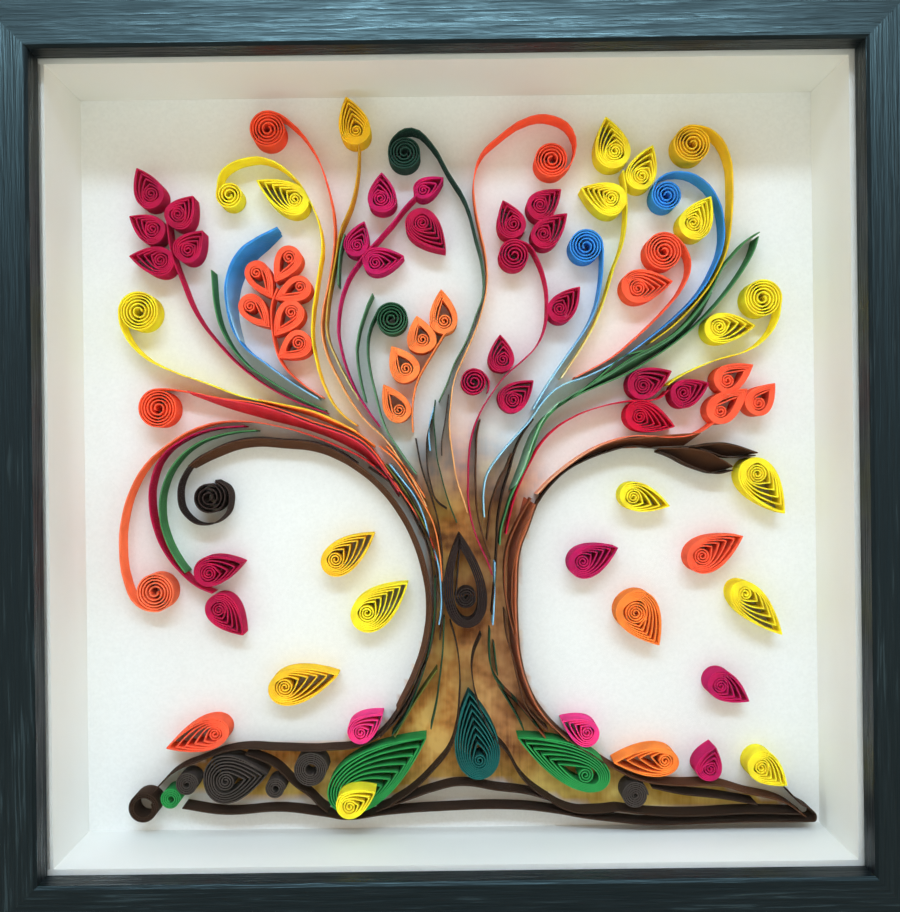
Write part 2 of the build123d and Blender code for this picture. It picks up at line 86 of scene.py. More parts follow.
def black_ash(name, along):
    """Black stained wood: streaks drawn out along the rail, glossy on top, with darker and lower pores."""
    material, tree = blank(name)
    size = [1 / RAIL_GRAIN_WIDTH] * 3
    size["XYZ".index(along)] = 1 / RAIL_GRAIN_LENGTH
    streak = [1 / RAIL_STREAK_WIDTH] * 3
    streak["XYZ".index(along)] = 1 / RAIL_STREAK_LENGTH
    place = add(tree, "ShaderNodeTexCoord").outputs["Object"]
    fine = add(tree, "ShaderNodeMapping", {"Vector": place, "Scale": size}).outputs["Vector"]
    wide = add(tree, "ShaderNodeMapping", {"Vector": place, "Scale": streak}).outputs["Vector"]
    grain = add(tree, "ShaderNodeTexNoise", {"Vector": fine, "Scale": 1, "Detail": 3, "Distortion": 0.4})
    flow = add(tree, "ShaderNodeTexNoise", {"Vector": wide, "Scale": 1, "Detail": 2, "Distortion": 0.8})
    mixed = add(tree, "ShaderNodeMath", {
        0: flow.outputs["Fac"], 1: STREAK_SHARE, 2: grain.outputs["Fac"]}, operation="MULTIPLY_ADD").outputs[0]
    colour = add(tree, "ShaderNodeValToRGB", {"Fac": mixed},
                 ((0.56, "050708"), (0.70, "0c1012"), (0.90, "151b1e"), (1.0, "2a3539"))).outputs[0]
    rough = add(tree, "ShaderNodeMapRange", {
        "Value": mixed, "From Min": 0.55, "From Max": 1.0, "To Min": 0.52, "To Max": 0.22}).outputs[0]
    relief = add(tree, "ShaderNodeBump", {"Height": mixed, "Strength": 0.7, "Distance": 0.00025})
    # The gloss is tinted light blue: a painted tint that gives every reflection the colour of cool daylight.
    shader = add(tree, "ShaderNodeBsdfPrincipled", {
        "Base Color": colour, "Roughness": rough, "Normal": relief.outputs["Normal"],
        "Specular IOR Level": 0.2, "Specular Tint": linear("c4e2ec")})
    add(tree, "ShaderNodeOutputMaterial", {"Surface": shader.outputs[0]})
    return material


def finish_cad(material, *nodes):
    """Gives CAD pieces, whose shape is right as it is, their material."""
    for node in nodes:
        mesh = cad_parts[node].data
        mesh.materials.clear()
        mesh.materials.append(material)


finish_cad(black_ash("black stained ash across", "X"), "frame_rail_top", "frame_rail_bottom")
finish_cad(black_ash("black stained ash upright", "Z"), "frame_rail_left", "frame_rail_right")

# One flat pane of clear float glass in the rabbet, behind the lip of the rails. Only a faint
# reflection shows, weaker than plain glass gives, because the photo shows hardly any.
PANE_IOR = 1.12
material, tree = blank("clear float glass")
clear = add(tree, "ShaderNodeBsdfTransparent")
gloss = add(tree, "ShaderNodeBsdfGlossy", {"Roughness": 0.02})
sheen = add(tree, "ShaderNodeFresnel", {"IOR": PANE_IOR})
pane = add(tree, "ShaderNodeMixShader", {0: sheen.outputs[0], 1: clear.outputs[0], 2: gloss.outputs[0]})
add(tree, "ShaderNodeOutputMaterial", {"Surface": pane.outputs[0]})
finish_cad(material, "front_glazing")
# Clear glass lets nearly all light through, so the pane throws no shadow on the picture.
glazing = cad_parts["front_glazing"]
glazing.visible_shadow = glazing.visible_diffuse = False

# Four spacer boards of white mount board, which line the box and hold the card off the pane.
# Their face is a smooth off-white paper with a faint tooth.
BOARD_TOOTH = 0.0008
BOARD_CLOUD = 0.04
material, tree = blank("off-white mount board")
place = add(tree, "ShaderNodeTexCoord").outputs["Object"]
tooth = add(tree, "ShaderNodeTexNoise", {"Vector": place, "Scale": 1 / BOARD_TOOTH, "Detail": 1})
cloud = add(tree, "ShaderNodeTexNoise", {"Vector": place, "Scale": 1 / BOARD_CLOUD, "Detail": 2})
colour = add(tree, "ShaderNodeValToRGB", {"Fac": cloud.outputs["Fac"]},
             ((0.3, "f4f3ed"), (0.7, "f9f8f4"))).outputs[0]
relief = add(tree, "ShaderNodeBump", {"Height": tooth.outputs["Fac"], "Strength": 0.15, "Distance": 0.0002})
shader = add(tree, "ShaderNodeBsdfPrincipled", {
    "Base Color": colour, "Roughness": 0.8, "Specular IOR Level": 0.15, "Normal": relief.outputs["Normal"]})
add(tree, "ShaderNodeOutputMaterial", {"Surface": shader.outputs[0]})
finish_cad(material, "spacer_top", "spacer_bottom", "spacer_left", "spacer_right")

# The white card that carries the picture. The trunk and the ground are washed onto it with a
# brush in tan and brown, redder on the right, yellow at the foot, and pale between the branches.
CARD_SIDE = 0.2185
CARD_CUTS = 170
card_low, card_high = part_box("background_card")
CARD_FRONT = card_low.y
MIDDLE = (card_low.z + card_high.z) / 2
TRUNK_SHARES = (
    (.425, .467), (.454, .419), (.4695, .381), (.4743, .317), (.4676, .259), (.452, .2156), (.427, .1674),
    (.3885, .127), (.325, .1163), (.269, .1175), (.206, .1185), (.160, .104), (.135, .085), (.125, .060),
    (.1925, .045), (.269, .046), (.327, .036), (.372, .032), (.415, .042), (.4405, .0498), (.471, .060),
    (.508, .0675), (.5575, .0605), (.600, .0545), (.658, .0305), (.721, .022), (.817, .0226), (.894, .0257),
    (.962, .0237), (.905, .042), (.856, .0535), (.798, .062), (.750, .071), (.7195, .0845), (.694, .100),
    (.656, .125), (.621, .1616), (.6038, .194), (.592, .235), (.588, .2824), (.588, .327), (.592, .379),
    (.604, .4116), (.615, .4406), (.640, .470), (.620, .520), (.580, .540), (.545, .600), (.500, .620),
    (.460, .570), (.430, .520))

bpy.ops.object.select_all(action="DESELECT")
bpy.ops.mesh.primitive_cube_add(size=1, location=(card_low + card_high) / 2)
card = bpy.context.object
card.name = "washed_card"
card.dimensions = card_high - card_low
bpy.ops.object.transform_apply(location=True, rotation=True, scale=True)
bpy.ops.object.mode_set(mode="EDIT")
bpy.ops.mesh.select_mode(type="FACE")
bpy.ops.mesh.select_all(action="DESELECT")
bpy.ops.object.mode_set(mode="OBJECT")
for face in card.data.polygons:
    face.select = face.normal.y < -0.9
bpy.ops.object.mode_set(mode="EDIT")
bpy.ops.mesh.subdivide(number_cuts=CARD_CUTS)
bpy.ops.object.mode_set(mode="OBJECT")

corners = np.zeros(len(card.data.vertices) * 3)
card.data.vertices.foreach_get("co", corners)
corners = corners.reshape(-1, 3)
across = corners[:, 0] / CARD_SIDE + 0.5
up = (corners[:, 2] - MIDDLE) / CARD_SIDE + 0.5
HAIR = 1e-12  # keeps a level edge of the outline from dividing by nothing
inside = np.zeros(len(across), bool)
edge_gap = np.full(len(across), np.inf)
for (x0, z0), (x1, z1) in zip(TRUNK_SHARES, TRUNK_SHARES[1:] + TRUNK_SHARES[:1]):
    crosses = (z0 > up) != (z1 > up)
    inside ^= crosses & (across < (x1 - x0) * (up - z0) / (z1 - z0 + HAIR) + x0)
    run = ((across - x0) * (x1 - x0) + (up - z0) * (z1 - z0)) / ((x1 - x0) ** 2 + (z1 - z0) ** 2)
    run = np.clip(run, 0, 1)
    edge_gap = np.minimum(edge_gap, np.hypot(across - x0 - run * (x1 - x0), up - z0 - run * (z1 - z0)))

# Shares of the wash: it fades out above the trunk, is soft-edged between the branches and sharp
# below, bleeds a little past its edge, turns redder to the right and yellow at the foot.
FADE_TOP, FADE_HEIGHT, FADE_POWER = 0.60, 0.16, 1.3
CROWN, CROWN_HEIGHT = 0.40, 0.10
EDGE_SOFT, CROWN_SOFT = 0.002, 0.054
EDGE_WASH, BLEED = 0.15, 0.012
RED_FROM, RED_WIDTH = 0.49, 0.08
ROOT_LOW, ROOT_HEIGHT = 0.05, 0.1
STRAW_TOP, STRAW_HEIGHT = 0.10, 0.05
fade = np.clip((FADE_TOP - up) / FADE_HEIGHT, 0.0, 1.0) ** FADE_POWER
soft = EDGE_SOFT + CROWN_SOFT * np.clip((up - CROWN) / CROWN_HEIGHT, 0, 1)
painted = np.clip(edge_gap / soft + EDGE_WASH, 0, 1)
bled = np.clip(EDGE_WASH - edge_gap / BLEED, 0, 1)
wash = np.where(inside, painted, bled) * fade
redder = wash * np.clip((across - RED_FROM) / RED_WIDTH, 0, 1) * np.clip((up - ROOT_LOW) / ROOT_HEIGHT, 0, 1)
yellower = wash * np.clip((STRAW_TOP - up) / STRAW_HEIGHT, 0, 1)
masks = np.stack([wash, redder, yellower, np.ones(len(wash))], 1)
layer = card.data.color_attributes.new("brush_wash", "FLOAT_COLOR", "POINT")
layer.data.foreach_set("color", masks.astype(np.float32).ravel())

# Blots and faint brush lines break up the wash; bare card is white with a faint tooth. A mix node
# has its numbers in inputs 2 and 3 and its colours in 6 and 7.
WASH_BLOT = 0.012
BRUSH_LINE = 0.0016
BRUSH_STRETCH = 0.08
BRUSH_SHARE = 0.15
RED_SHARE = 0.65
material, tree = blank("washed white card")
place = add(tree, "ShaderNodeTexCoord").outputs["Object"]
brush = add(tree, "ShaderNodeAttribute", attribute_name="brush_wash")
parts = add(tree, "ShaderNodeSeparateColor", {0: brush.outputs["Color"]})
cloud = add(tree, "ShaderNodeTexNoise", {
    "Vector": place, "Scale": 1 / WASH_BLOT, "Detail": 3, "Roughness": 0.65})
drawn = add(tree, "ShaderNodeMapping", {
    "Vector": place, "Scale": (1 / BRUSH_LINE, 1, BRUSH_STRETCH / BRUSH_LINE)}).outputs["Vector"]
bristle = add(tree, "ShaderNodeTexNoise", {"Vector": drawn, "Scale": 1, "Detail": 1, "Distortion": 1.5})
blot = add(tree, "ShaderNodeMix", {
    0: BRUSH_SHARE, 2: cloud.outputs["Fac"], 3: bristle.outputs["Fac"]}, data_type="FLOAT").outputs[0]
tooth = add(tree, "ShaderNodeTexNoise", {"Vector": place, "Scale": 1 / BOARD_TOOTH, "Detail": 1})
tan_wash = add(tree, "ShaderNodeValToRGB", {"Fac": blot},
               ((0.36, "8a4e1c"), (0.48, "e09440"), (0.62, "ffc86c"))).outputs[0]
rust_wash = add(tree, "ShaderNodeValToRGB", {"Fac": blot}, ((0.36, "a05a34"), (0.62, "f0a878"))).outputs[0]
straw_wash = add(tree, "ShaderNodeValToRGB", {"Fac": blot}, ((0.36, "cc9c38"), (0.62, "ffe07c"))).outputs[0]
reddened = add(tree, "ShaderNodeMath", {0: parts.outputs["Green"], 1: RED_SHARE}, operation="MULTIPLY")
warm = add(tree, "ShaderNodeMix", {0: reddened.outputs[0], 6: tan_wash, 7: rust_wash}, data_type="RGBA")
paint = add(tree, "ShaderNodeMix", {
    0: parts.outputs["Blue"], 6: warm.outputs[2], 7: straw_wash}, data_type="RGBA")
bare = add(tree, "ShaderNodeValToRGB", {"Fac": tooth.outputs["Fac"]},
           ((0.3, "f3f3f1"), (0.7, "f8f8f6"))).outputs[0]
colour = add(tree, "ShaderNodeMix", {
    0: parts.outputs["Red"], 6: bare, 7: paint.outputs[2]}, data_type="RGBA")
shader = add(tree, "ShaderNodeBsdfPrincipled", {
    "Base Color": colour.outputs[2], "Roughness": 0.8, "Specular IOR Level": 0.1})
add(tree, "ShaderNodeOutputMaterial", {"Surface": shader.outputs[0]})
card.data.materials.append(material)
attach(card, "root")
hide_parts("background_card")

# The hardboard back that closes the box behind the card: brown pressed fibre, cloudy in tone
# and finely speckled, with a low even tooth.
FIBRE = 0.0012
FIBRE_CLOUD = 1 / 30
FIBRE_SHARE = 0.6
material, tree = blank("brown hardboard")
place = add(tree, "ShaderNodeTexCoord").outputs["Object"]
fibre = add(tree, "ShaderNodeTexNoise", {"Vector": place, "Scale": 1 / FIBRE, "Detail": 4})
cloud = add(tree, "ShaderNodeTexNoise", {"Vector": place, "Scale": 1 / FIBRE_CLOUD, "Detail": 3})
mixed = add(tree, "ShaderNodeMath", {
    0: fibre.outputs["Fac"], 1: FIBRE_SHARE, 2: cloud.outputs["Fac"]}, operation="MULTIPLY_ADD").outputs[0]
colour = add(tree, "ShaderNodeValToRGB", {"Fac": mixed},
             ((0.6, "5f4026"), (0.8, "7d5a38"), (1.0, "94714b"))).outputs[0]
relief = add(tree, "ShaderNodeBump", {"Height": fibre.outputs["Fac"], "Strength": 0.3, "Distance": 0.0002})
shader = add(tree, "ShaderNodeBsdfPrincipled", {
    "Base Color": colour, "Roughness": 0.6, "Normal": relief.outputs["Normal"]})
add(tree, "ShaderNodeOutputMaterial", {"Surface": shader.outputs[0]})
finish_cad(material, "back_board")

# Eight flat tabs that hold the back in, and the sawtooth hanger pressed into it.
# Both are stamped from bright rolled steel sheet, with fine rolling lines.
ROLL_LINE = 0.0005
ROLL_LENGTH = 1 / 60
material, tree = blank("rolled steel sheet")
place = add(tree, "ShaderNodeTexCoord").outputs["Object"]
lines = add(tree, "ShaderNodeMapping", {
    "Vector": place, "Scale": (1 / ROLL_LENGTH, 1 / ROLL_LENGTH, 1 / ROLL_LINE)}).outputs["Vector"]
roll = add(tree, "ShaderNodeTexNoise", {"Vector": lines, "Scale": 1, "Detail": 2})
colour = add(tree, "ShaderNodeValToRGB", {"Fac": roll.outputs["Fac"]},
             ((0.3, "9b9c9c"), (0.7, "b9baba"))).outputs[0]
rough = add(tree, "ShaderNodeMapRange", {"Value": roll.outputs["Fac"], "To Min": 0.28, "To Max": 0.45})
shader = add(tree, "ShaderNodeBsdfPrincipled", {
    "Base Color": colour, "Metallic": 1, "Roughness": rough.outputs[0]})
add(tree, "ShaderNodeOutputMaterial", {"Surface": shader.outputs[0]})
finish_cad(material, "retaining_tabs", "sawtooth_hanger")

# The strips of the trunk, dark brown with a few coloured ones, glued on edge over the wash.
# Each is a narrow strip of coloured paper that stands on the card and follows the trunk's lines.
STRIP_WIDTH = 0.007
PAPER = 0.00035
PAPER_FIBRE = 0.0006
PAPER_CLOUD = 0.0045
PAPER_GLOW = 0.8
GLOW_FROM = 0.47
GLOW_DEPTH = 0.0014
GLOW_TINT = (1.0, 0.75, 0.45)
DYE_SHADES = ((0.3, 0.93), (0.7, 1.05))
TRUNK_HEAD = ((.515 - 0.5) * CARD_SIDE, CARD_FRONT, MIDDLE + (.40 - 0.5) * CARD_SIDE)
PAPER_CREASE = math.radians(40)
# A line with many points has them close together and needs fewer steps between them.
LONG_LINE, LONG_LINE_STEPS, SHORT_LINE_STEPS = 26, 3, 8


def shades(code):
    """A dye's darker and lighter shade, as the stops of a ramp."""
    levels = [int(code[place:place + 2], 16) for place in (0, 2, 4)]
    return [(stop, "".join(f"{min(255, round(level * share)):02x}" for level in levels))
            for stop, share in DYE_SHADES]


def paper(name, code, root_code=None, reach=(0.045, 0.075)):
    """Dyed craft paper: matt and a little uneven in colour, with a fine fibre. Light falls through
    bright paper, so that it glows between its turns. A strip may change colour near the trunk;
    where it turns paler there, the paleness is a painted highlight for the strip's lit side."""
    material, tree = blank(f"{name} craft paper")
    place = add(tree, "ShaderNodeTexCoord").outputs["Object"]
    cloud = add(tree, "ShaderNodeTexNoise", {"Vector": place, "Scale": 1 / PAPER_CLOUD, "Detail": 1})
    fibre = add(tree, "ShaderNodeTexNoise", {"Vector": place, "Scale": 1 / PAPER_FIBRE, "Detail": 1})
    colour = add(tree, "ShaderNodeValToRGB", {"Fac": cloud.outputs["Fac"]}, shades(code)).outputs[0]
    # Near the trunk the colour blends to a second one; where that is paler, it is a painted highlight for the
    # strip's lit side.
    if root_code:
        gap = add(tree, "ShaderNodeVectorMath", {0: place, 1: TRUNK_HEAD}, operation="DISTANCE")
        near = add(tree, "ShaderNodeMapRange", {
            "Value": gap.outputs["Value"], "From Min": reach[0], "From Max": reach[1],
            "To Min": 1, "To Max": 0})
        root = add(tree, "ShaderNodeValToRGB", {"Fac": cloud.outputs["Fac"]}, shades(root_code)).outputs[0]
        colour = add(tree, "ShaderNodeMix", {
            0: near.outputs[0], 6: colour, 7: root}, data_type="RGBA").outputs[2]
    relief = add(tree, "ShaderNodeBump", {
        "Height": fibre.outputs["Fac"], "Strength": 0.25, "Distance": 0.00015})
    shader = add(tree, "ShaderNodeBsdfPrincipled", {
        "Base Color": colour, "Roughness": 0.75, "Specular IOR Level": 0.03, "Normal": relief.outputs["Normal"],
        "Subsurface Weight": PAPER_GLOW if max(linear(code)[:3]) > GLOW_FROM else 0,
        "Subsurface Radius": GLOW_TINT, "Subsurface Scale": GLOW_DEPTH})
    shader.subsurface_method = "BURLEY"
    add(tree, "ShaderNodeOutputMaterial", {"Surface": shader.outputs[0]})
    return material


def strip(*points):
    """Line of a strip through its points, as shares of the card's visible square."""
    return [(complex(*point), False) for point in points]


def stand(name, lines, base, fronts):
    """Draws lines on the card, makes them a mesh, pulls it out to the strips' width and gives it thickness.
    A strip that leans has a line of its own for its front edge."""
    drawing = bpy.data.curves.new(name, "CURVE")
    drawing.dimensions = "3D"
    for line, depth in [(line, base) for line in lines] + [(line, base - STRIP_WIDTH) for line in fronts]:
        spline = drawing.splines.new("BEZIER")
        spline.bezier_points.add(len(line) - 1)
        spline.resolution_u = LONG_LINE_STEPS if len(line) > LONG_LINE else SHORT_LINE_STEPS
        for knot, (point, is_sharp) in zip(spline.bezier_points, line):
            knot.co = ((point.real - 0.5) * CARD_SIDE, depth, MIDDLE + (point.imag - 0.5) * CARD_SIDE)
            knot.handle_left_type = knot.handle_right_type = "VECTOR" if is_sharp else "AUTO"
    piece = bpy.data.objects.new(name, drawing)
    bpy.context.scene.collection.objects.link(piece)
    bpy.ops.object.select_all(action="DESELECT")
    piece.select_set(True)
    bpy.context.view_layer.objects.active = piece
    bpy.ops.object.convert(target="MESH")
    bpy.ops.object.mode_set(mode="EDIT")
    bpy.ops.mesh.select_mode(type="EDGE")
    bpy.ops.mesh.select_all(action="SELECT")
    if fronts:
        bpy.ops.mesh.bridge_edge_loops()
    else:
        bpy.ops.mesh.extrude_region_move(TRANSFORM_OT_translate={"value": (0, -STRIP_WIDTH, 0)})
    bpy.ops.object.mode_set(mode="OBJECT")
    wall = bpy.context.object.modifiers.new("paper", "SOLIDIFY")
    wall.thickness = PAPER
    wall.offset = 0
    bpy.ops.object.modifier_apply(modifier=wall.name)
    bpy.ops.object.shade_smooth_by_angle(angle=PAPER_CREASE)
    return bpy.context.object


def quill(node, work, base=CARD_FRONT):
    """One piece of quilled paper: its lines, colour by colour, joined and set in place of its CAD piece."""
    pieces = []
    for material, lines, *fronts in work:
        pieces.append(stand(f"{node}_quilled", lines, base, fronts))
        pieces[-1].data.materials.append(material)
    bpy.ops.object.select_all(action="DESELECT")
    for piece in pieces:
        piece.select_set(True)
    bpy.context.view_layer.objects.active = pieces[0]
    if len(pieces) > 1:
        bpy.ops.object.join()
    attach(pieces[0], "root")
    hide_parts(node)


dark_brown = paper("dark brown", "3b281d")
brown = paper("brown", "5a3722")
terracotta = paper("terracotta", "b8694a")
rust = paper("rust brown", "8a4a2c")
olive = paper("olive", "6a6a2a")
deep_green = paper("deep green", "24482f")
sky = paper("light blue", "86c2e6")
orange = paper("orange", "ff8848")
quill("trunk_strips", [
    (dark_brown, [
        strip((.390, .494), (.425, .467), (.454, .419), (.4695, .381), (.4743, .317), (.4676, .259),
              (.452, .2156), (.427, .1674), (.3885, .127), (.325, .1163), (.269, .1175), (.206, .1185),
              (.160, .104), (.125, .089), (.098, .063)),
        strip((.454, .532), (.4615, .492), (.471, .462), (.4805, .43), (.4865, .395), (.4885, .35), (.4875, .30),
              (.4835, .262)),
        strip((.476, .5575), (.4695, .532), (.4685, .509), (.4695, .491), (.474, .4676), (.481, .448),
              (.4946, .4367)),
        strip((.4975, .2845), (.504, .262), (.5095, .22), (.5085, .18), (.5045, .145), (.4945, .115),
              (.475, .0905), (.4425, .0594), (.415, .042)),
        strip((.5385, .268), (.5275, .240), (.5276, .202), (.538, .1636), (.5556, .129), (.5705, .1115),
              (.592, .075), (.621, .050), (.658, .0305), (.690, .0286), (.7195, .031)),
        strip((.499, .590), (.4935, .552), (.4892, .529), (.4888, .508)),
        strip((.400, .4945), (.4325, .468), (.4605, .419), (.4755, .381), (.4795, .317), (.4730, .259),
              (.4575, .2156), (.4335, .1674), (.402, .133)),
        strip((.612, .556), (.5965, .534), (.5864, .512), (.5787, .485), (.572, .4656), (.567, .444),
              (.563, .421), (.5615, .394), (.560, .369), (.5585, .344), (.5555, .318), (.5535, .295)),
    ]),
    (brown, [
        strip((.6185, .4475), (.615, .4406), (.604, .4116), (.592, .379), (.588, .327), (.588, .2824),
              (.592, .235), (.6038, .194), (.621, .1616), (.656, .125), (.694, .100), (.7195, .0845), (.750, .071),
              (.798, .064), (.856, .0625), (.894, .0517), (.944, .038), (.9695, .020)),
        strip((.5705, .300), (.5735, .265), (.5815, .235), (.588, .205), (.598, .171), (.617, .147),
              (.6265, .139)),
        strip((.541, .556), (.537, .540), (.535, .510), (.534, .475), (.536, .433), (.5405, .410), (.547, .3866),
              (.5525, .369)),
    ]),
    (brown, [
        strip((.5826, .510), (.575, .491), (.567, .477), (.5594, .458), (.5536, .4386), (.551, .4174),
              (.548, .394))]),
    (rust, [
        strip((.6076, .45), (.588, .4155), (.575, .3827), (.571, .346), (.575, .3017), (.5826, .268)),
        strip((.6134, .4386), (.595, .402), (.5825, .3557), (.5805, .330), (.581, .298), (.5855, .2728),
              (.590, .242)),
        strip((.560, .202), (.573, .1886), (.5864, .175), (.600, .160), (.6096, .146), (.623, .129)),
    ]),
    (terracotta, [strip((.601, .450), (.591, .4155), (.5805, .379), (.577, .327), (.578, .2824), (.5825, .235),
                        (.595, .192), (.613, .158), (.649, .121))],
     strip((.613, .4415), (.602, .4116), (.590, .379), (.586, .327), (.586, .2824), (.590, .235), (.602, .194),
           (.619, .1616), (.654, .125))),
    (sky, [
        strip((.419, .498), (.4367, .475), (.452, .454), (.4637, .427), (.4714, .396), (.4815, .367),
              (.4855, .3306), (.4855, .3017), (.4825, .2824)),
        strip((.558, .365), (.5575, .330), (.556, .300), (.5545, .281)),
        strip((.480, .575), (.4735, .553), (.472, .535), (.4735, .515)),
    ]),
    (orange, [
        strip((.405, .522), (.425, .505), (.446, .474), (.4625, .446), (.4755, .420), (.4835, .3846),
              (.4875, .340)),
        strip((.415, .522), (.432, .503), (.452, .475), (.466, .452)),
    ]),
    (deep_green, [
        strip((.481, .583), (.4785, .5575), (.4805, .532), (.4825, .505), (.487, .485), (.4926, .462),
              (.4985, .4425), (.508, .418)),
        strip((.5505, .275), (.5495, .245), (.5535, .217), (.5655, .197), (.5864, .175), (.604, .154),
              (.6135, .142)),
        strip((.4895, .290), (.487, .245), (.482, .205), (.4775, .175), (.470, .143)),
        strip((.5556, .256), (.5575, .237), (.560, .2137)),
        strip((.561, .200), (.577, .173), (.5864, .156), (.594, .140)),
        strip((.4780, .345), (.4765, .295), (.468, .245), (.4535, .200), (.4345, .158), (.418, .135)),
    ]),
    (olive, [
        strip((.4136, .498), (.433, .4714), (.448, .446), (.460, .425), (.470, .400), (.477, .370)),
        strip((.479, .222), (.462, .198), (.448, .177), (.433, .152), (.4215, .133)),
    ]),
])

# The eye-shaped knot in the trunk: a loose coil of near-black brown paper, pinched at its upper
# end and glued on edge, with the rolled core standing free inside.

# Gaps and the fold are shares of the card's visible square, the core, the fan's reach and the
# closing are shares of the leaf, and the foot's gap is a share of the fan's.
FAN_GAP_SHARE = 0.0027
PACK_GAP_SHARE = 0.0017
FOLD_SHARE = 0.0008
CORE_SHARE = 0.50
CORE_GAP_SHARE = 0.0040
FAN_REACH = 0.80
FOOT_GAP = 0.75
SWELL_PEAK = 0.7698
CREASE_LEAN = 1.6
LOOP_STEPS = 16
CORE_STEPS = 12
CORE_TURNS = 1.5
CORE_CLOSING = 0.84


def swell(share):
    """Half width of a leaf, as a share of its greatest, at a share of its height from the round end to the tip."""
    turn = math.acos(min(1, 2 * share - 1))
    return math.sin(turn) * math.sin(turn / 2) / SWELL_PEAK


def leaf(tip, end, width, hand=1, gap=FAN_GAP_SHARE, pack=PACK_GAP_SHARE, core_share=CORE_SHARE, reach=FAN_REACH,
         lift=0.0):
    """Line of a pinched coil: its turns lie close along one side, where their creases follow each other down from
    the tip, fan out over the other side and end in the rolled core."""
    tip, end = complex(*tip), complex(*end)
    length = abs(tip - end)
    axis = (tip - end) / length
    packed = axis * -1j * hand
    half = width / 2
    loops = max(2, round(half * (1 - core_share) * 2 / (gap + pack)))
    core = half - loops * (gap + pack) / 2
    slide = (gap - pack) / 2
    lean = min(1, CREASE_LEAN * (1 - pack / gap))
    free = max(0, length - loops * gap * FOOT_GAP - 2 * core)
    creases = []
    for loop in range(loops + 1):
        drop = loop * FOLD_SHARE + reach * free * max(0, loop - 1) / (loops - 1)
        creases.append((drop, max(0, lean * (half * swell(1 - drop / length) - loop * pack))))
    line = []
    for loop in range(loops):
        line.append((tip - axis * creases[loop][0] + packed * creases[loop][1], True))
        foot = loop * gap * FOOT_GAP
        for step in range(LOOP_STEPS):
            angle = math.tau * (step + 0.5) / LOOP_STEPS
            share = (1 + math.cos(angle)) / 2
            drop, aside = creases[loop] if angle < math.pi else creases[loop + 1]
            height = foot + share * (length - drop - foot)
            shift = loop * slide + (aside - loop * slide) * share ** 2
            side = swell(share) * (half - loop * (gap + pack) / 2)
            wall = half * swell(height / length) - loop * pack
            off = shift - side if angle < math.pi else min(shift + side, wall)
            line.append((end + axis * height + packed * off, False))
    line.append((tip - axis * creases[loops][0] + packed * creases[loops][1], True))
    middle = end + axis * (loops * gap * FOOT_GAP + core + lift * length) + packed * loops * slide
    steps = int(max(CORE_TURNS, core / CORE_GAP_SHARE) * CORE_STEPS)
    for step in range(steps + 1):
        angle = math.pi / 3 + math.tau * step / CORE_STEPS
        radius = core * (1 - CORE_CLOSING * step / steps)
        line.append((middle + axis * cmath.rect(radius, hand * angle), False))
    return line


def petal(tip, end, width):
    """Line of a pinched coil whose outer turns lie close round an open core."""
    return leaf(tip, end, width, gap=0.0022, pack=0.0018, core_share=0.5, reach=0.3)


black_brown = paper("black brown", "352622")
quill("trunk_knot", [(black_brown, [
    leaf((.511, .404), (.522, .2785), .056, gap=.0028, pack=.0026, core_share=.5, reach=.1, lift=.12)])])

# The strips of the ground: dark brown paper, glued on edge along the foot of the picture in long
# shallow waves that run out to a point at the right.
quill("ground_strips", [(dark_brown, [
    strip((.1365, .0415), (.1925, .033), (.269, .036), (.327, .0286), (.3557, .024), (.404, .0295), (.471, .034),
          (.5864, .035), (.640, .0285), (.671, .0225), (.721, .016), (.760, .012), (.817, .0126), (.894, .014),
          (.971, .0135)),
    strip((.395, .0335), (.4405, .0498), (.471, .060), (.508, .0675), (.5575, .0605), (.600, .0545), (.628, .046)),
    strip((.7195, .031), (.760, .0255), (.817, .023), (.894, .0257), (.962, .0237)),
    strip((.765, .061), (.8017, .0527), (.856, .046), (.905, .037)),
    strip((.222, .1125), (.259, .096), (.288, .069), (.3075, .0545), (.320, .0415), (.331, .0335)),
    strip((.944, .0575), (.960, .0400), (.983, .0165), (.971, .0135)),
])])

# The low curls on the left: strips of brown, orange, crimson and green paper that hang from the
# branch, two of them rolled into a loose coil at the end and one that ends in two pinched leaves.
RIM_GAP_SHARE = 0.0030
SPRUNG_GAP_SHARE = 0.0060
OPEN_SHARE = 0.14
TURN_STEPS = 14


def coil(centre, radius, open_share=OPEN_SHARE, start=0.0, sense=1, rim=RIM_GAP_SHARE, core=SPRUNG_GAP_SHARE):
    """Line of a rolled strip, from its tight outer turns in to its core, where it has sprung open."""
    line, reach, turn = [], radius, start
    while reach > radius * open_share:
        line.append((complex(*centre) + cmath.rect(reach, turn), False))
        reach -= (rim + (core - rim) * (1 - reach / radius)) / TURN_STEPS
        turn += sense * math.tau / TURN_STEPS
    return line


def curl(centre, radius, *points):
    """Line of a strip whose first end is rolled into a coil: the strip leaves the coil without a kink."""
    stem = strip(*points)
    arm = stem[0][0] - complex(*centre)
    leaving = stem[1][0] - stem[0][0]
    sense = -1 if (leaving * (arm * 1j).conjugate()).real > 0 else 1
    roll = coil(centre, abs(arm), OPEN_SHARE * radius / abs(arm), cmath.phase(arm), sense)
    return [*reversed(roll[1:]), *stem]


